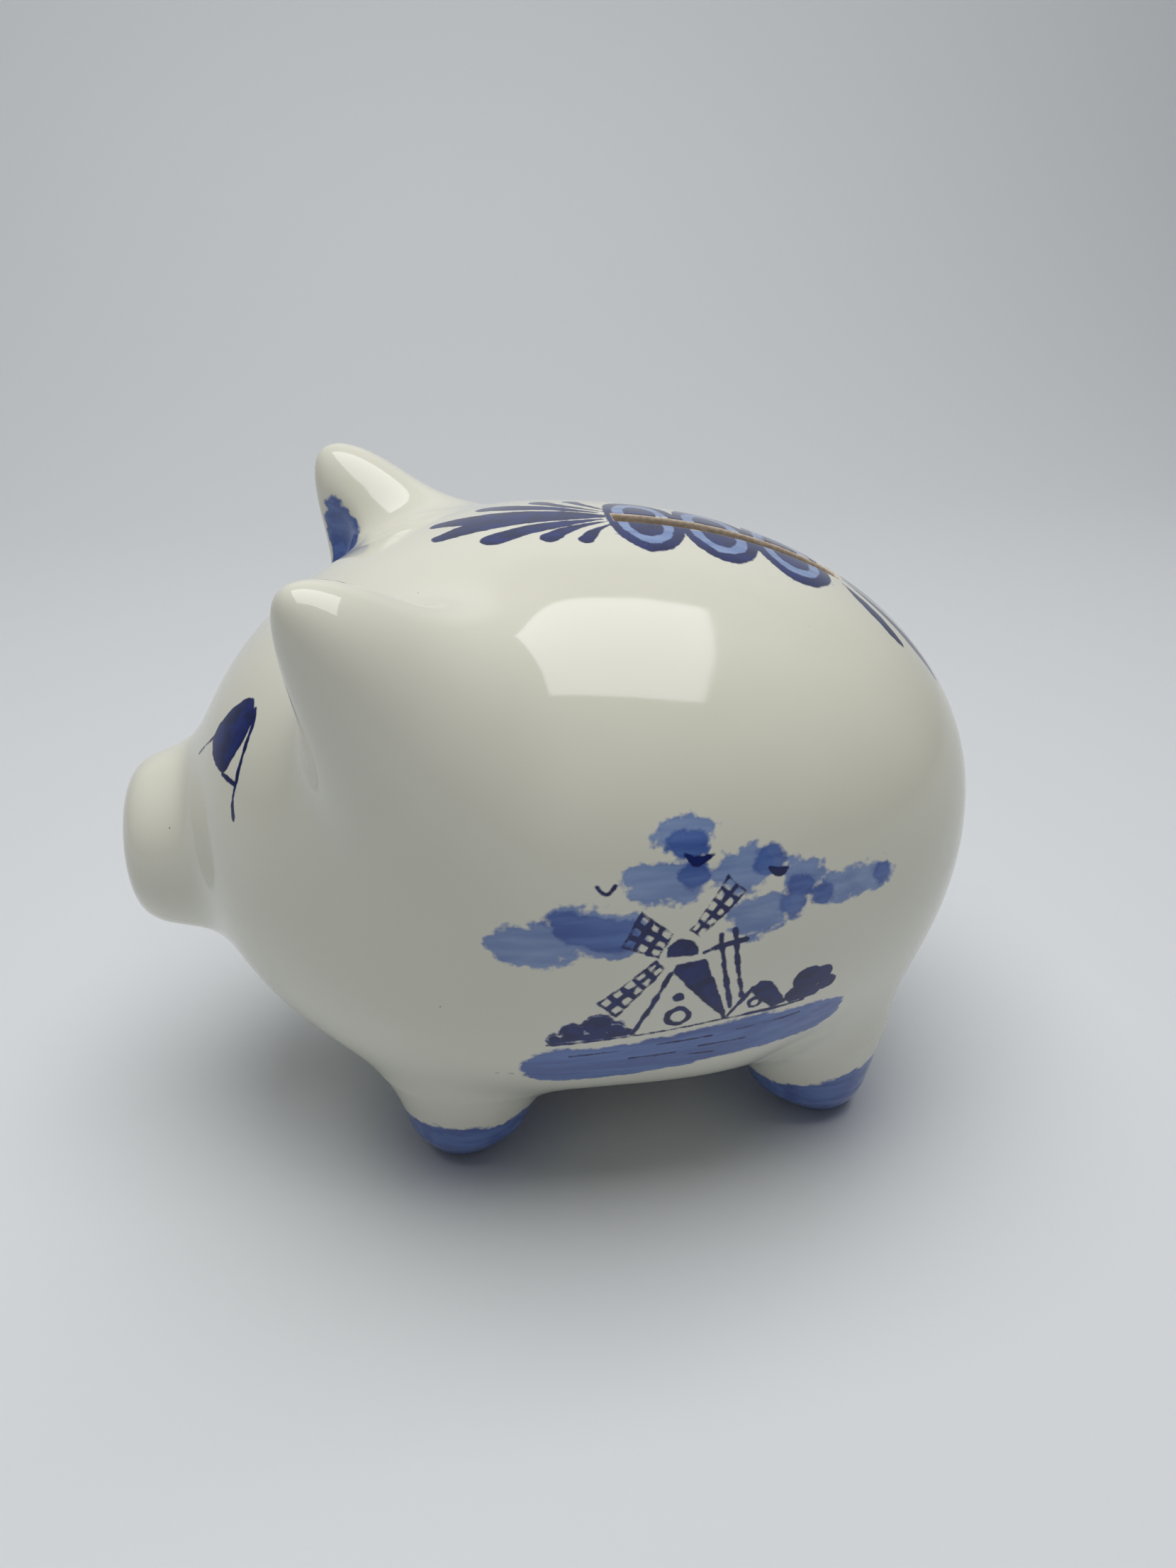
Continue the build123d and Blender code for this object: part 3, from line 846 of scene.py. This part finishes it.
def glaze_material():
    """Cream glaze over brushed cobalt: the layers say how far each point is from each blue."""
    n = Nodes("glaze")
    wobble = n.ramp(n.noise(900.0), 0.3, 0.7, -0.09, 0.09)
    ragged = n.ramp(n.noise(230.0, (1.0, 1.0, 2.0), 2.0), 0.3, 0.7, -0.14, 0.14)
    streaks = n.noise(60.0, (1.0, 9.0, 9.0), 5.0)
    clouding = n.noise(260.0, (1.0, 1.6, 1.6), 4.0)
    tone = n.ramp(n.noise(22.0), 0.3, 0.7)
    cream = n.mix(tone, (0.78, 0.77, 0.65, 1), (0.82, 0.81, 0.70, 1))
    cells = n.add("ShaderNodeTexVoronoi", {
        "Vector": n.add("ShaderNodeTexCoord").outputs["Object"], "Scale": 210.0,
    })
    lot = n.add("ShaderNodeSeparateColor", {"Color": cells.outputs["Color"]}).outputs[0]
    lone = n.math("GREATER_THAN", lot, 0.86)
    speck = n.math("MULTIPLY", n.ramp(cells.outputs["Distance"], 0.035, 0.015), lone)
    colour = n.mix(n.math("MULTIPLY", speck, 0.8), cream, (0.06, 0.045, 0.04, 1))

    def brushed(field, soft, uneven):
        edge = n.math("ADD", field, n.math("MULTIPLY", wobble, uneven))
        edge = n.math("ADD", edge, n.math("MULTIPLY", ragged, uneven))
        return n.ramp(edge, soft, -soft), n.ramp(edge, -0.9, 0.0)

    light, light_rim = brushed(n.layer("light"), 0.45, 4.0)
    wash = n.mix(n.ramp(streaks, 0.3, 0.7), (0.24, 0.35, 0.62, 1), (0.13, 0.22, 0.50, 1))
    wash = n.mix(n.math("MULTIPLY", light_rim, 0.25), wash, (0.10, 0.18, 0.46, 1))
    colour = n.mix(n.math("MULTIPLY", light, 0.93), colour, wash)
    middle, middle_rim = brushed(n.layer("middle"), 0.35, 2.2)
    body = n.mix(n.ramp(streaks, 0.32, 0.68), (0.10, 0.19, 0.50, 1), (0.045, 0.10, 0.36, 1))
    body = n.mix(n.math("MULTIPLY", middle_rim, 0.35), body, (0.035, 0.08, 0.33, 1))
    colour = n.mix(n.math("MULTIPLY", middle, 0.95), colour, body)
    dark, dark_rim = brushed(n.layer("dark"), 0.14, 0.8)
    ink = n.mix(n.ramp(clouding, 0.35, 0.65), (0.005, 0.020, 0.16, 1), (0.002, 0.008, 0.07, 1))
    ink = n.mix(n.math("MULTIPLY", dark_rim, 0.5), ink, (0.0015, 0.007, 0.09, 1))
    colour = n.mix(dark, colour, ink)
    bare = n.ramp(n.layer("bare"), 0.12, -0.12)
    grain = n.noise(1400.0, detail=6.0)
    clay = n.mix(n.ramp(grain, 0.3, 0.7), (0.55, 0.44, 0.33, 1), (0.70, 0.59, 0.46, 1))
    colour = n.mix(bare, colour, clay)
    n.put(n.shader.inputs["Base Color"], colour)
    gloss = n.ramp(n.noise(35.0), 0.3, 0.7, 0.05, 0.10)
    rough = n.math("ADD", gloss, n.math("MULTIPLY", bare, 0.7))
    n.put(n.shader.inputs["Roughness"], rough)
    wave = n.add("ShaderNodeBump", {
        "Height": n.noise(95.0, detail=1.0), "Strength": 0.25, "Distance": 0.0003,
    })
    paint = n.math("MAXIMUM", n.math("MULTIPLY", middle, 0.5), dark)
    raised = n.add("ShaderNodeBump", {
        "Height": paint, "Strength": 0.12, "Distance": 0.00006, "Normal": wave.outputs[0],
    })
    pits = n.add("ShaderNodeBump", {
        "Height": n.math("MULTIPLY", grain, bare), "Strength": 0.4, "Distance": 0.0002,
        "Normal": raised.outputs[0],
    })
    n.put(n.shader.inputs["Normal"], pits.outputs[0])
    n.shader.inputs["IOR"].default_value = 1.52
    return n.material


def rubber_material():
    n = Nodes("rubber")
    cloudy = n.noise(160.0, detail=4.0)
    n.put(n.shader.inputs["Base Color"], n.mix(cloudy, (0.58, 0.56, 0.51, 1), (0.68, 0.66, 0.61, 1)))
    n.put(n.shader.inputs["Roughness"], n.ramp(cloudy, 0.2, 0.8, 0.5, 0.7))
    bump = n.add("ShaderNodeBump", {"Height": n.noise(1800.0), "Strength": 0.3, "Distance": 0.0001})
    n.put(n.shader.inputs["Normal"], bump.outputs[0])
    return n.material


glaze = glaze_material()
rubber = rubber_material()
for slot in frame["nodes"]["stopper"].material_slots:
    slot.material = rubber
which = tidy_owners(owner(vertices[triangles].mean(axis=1)), triangles)
for number, name in enumerate(PIECES):
    piece = make_piece(name + "_skin", vertices, triangles[which == number], normals, layers, glaze)
    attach(piece, "pig")
    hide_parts(name)


# ---------------------------------------------------------------- floor, light, camera
def plain_material(name, colour, roughness):
    material = bpy.data.materials.new(name)
    material.use_nodes = True
    shader = material.node_tree.nodes["Principled BSDF"]
    shader.inputs["Base Color"].default_value = (*colour, 1)
    shader.inputs["Roughness"].default_value = roughness
    return material


def sweep_backdrop():
    """Floor that curves up into a backdrop far behind the pig."""
    profile = [(-1.2, 0.0), (0.35, 0.0)]
    for turn in np.linspace(0, math.pi / 2, 17)[1:]:
        profile.append((0.35 + 0.25 * math.sin(turn), 0.25 - 0.25 * math.cos(turn)))
    profile.append((0.6, 1.6))
    rows = [(x, y, z) for x in (-2.0, 2.0) for y, z in profile]
    count = len(profile)
    faces = [(i, i + count, i + count + 1, i + 1) for i in range(count - 1)]
    mesh = bpy.data.meshes.new("backdrop")
    mesh.from_pydata(rows, [], faces)
    mesh.polygons.foreach_set("use_smooth", [True] * len(faces))
    mesh.materials.append(plain_material("paper", (0.78, 0.80, 0.82), 0.6))
    backdrop = bpy.data.objects.new("backdrop", mesh)
    bpy.context.scene.collection.objects.link(backdrop)


def area_light(name, place, aim, size, power):
    data = bpy.data.lights.new(name, "AREA")
    data.shape = "RECTANGLE"
    data.size, data.size_y = size
    data.energy = power
    lamp = bpy.data.objects.new(name, data)
    lamp.location = place
    lamp.rotation_euler = (Vector(aim) - Vector(place)).to_track_quat("-Z", "Y").to_euler()
    bpy.context.scene.collection.objects.link(lamp)


sweep_backdrop()
area_light("top_light", (0.0, -0.02, 0.75), (0, 0, 0.05), (0.75, 0.6), 4.7)
world = bpy.data.worlds.new("studio")
world.use_nodes = True
world.node_tree.nodes["Background"].inputs["Color"].default_value = (0.62, 0.64, 0.66, 1)
world.node_tree.nodes["Background"].inputs["Strength"].default_value = 0.18
bpy.context.scene.world = world

AZIMUTH, ELEVATION, ROLL = -0.1234, 0.4751, -0.0056
DISTANCE = 0.200
TARGET = Vector((0.00552, 0.0, 0.05272))
SENSOR_MM, LENS_MM = 36.0, 28.325
back = Vector((
    math.sin(AZIMUTH) * math.cos(ELEVATION),
    -math.cos(AZIMUTH) * math.cos(ELEVATION),
    math.sin(ELEVATION),
))
camera_data = bpy.data.cameras.new("camera")
camera_data.sensor_fit = "VERTICAL"
camera_data.sensor_height = SENSOR_MM
camera_data.lens = LENS_MM
camera_data.clip_start = 0.01
camera = bpy.data.objects.new("camera", camera_data)
camera.location = TARGET + back * DISTANCE
turn = back.to_track_quat("Z", "Y")
camera.rotation_mode = "QUATERNION"
camera.rotation_quaternion = turn @ Quaternion((0, 0, 1), ROLL)
bpy.context.scene.collection.objects.link(camera)
bpy.context.scene.camera = camera
bpy.context.scene.view_settings.view_transform = "Standard"
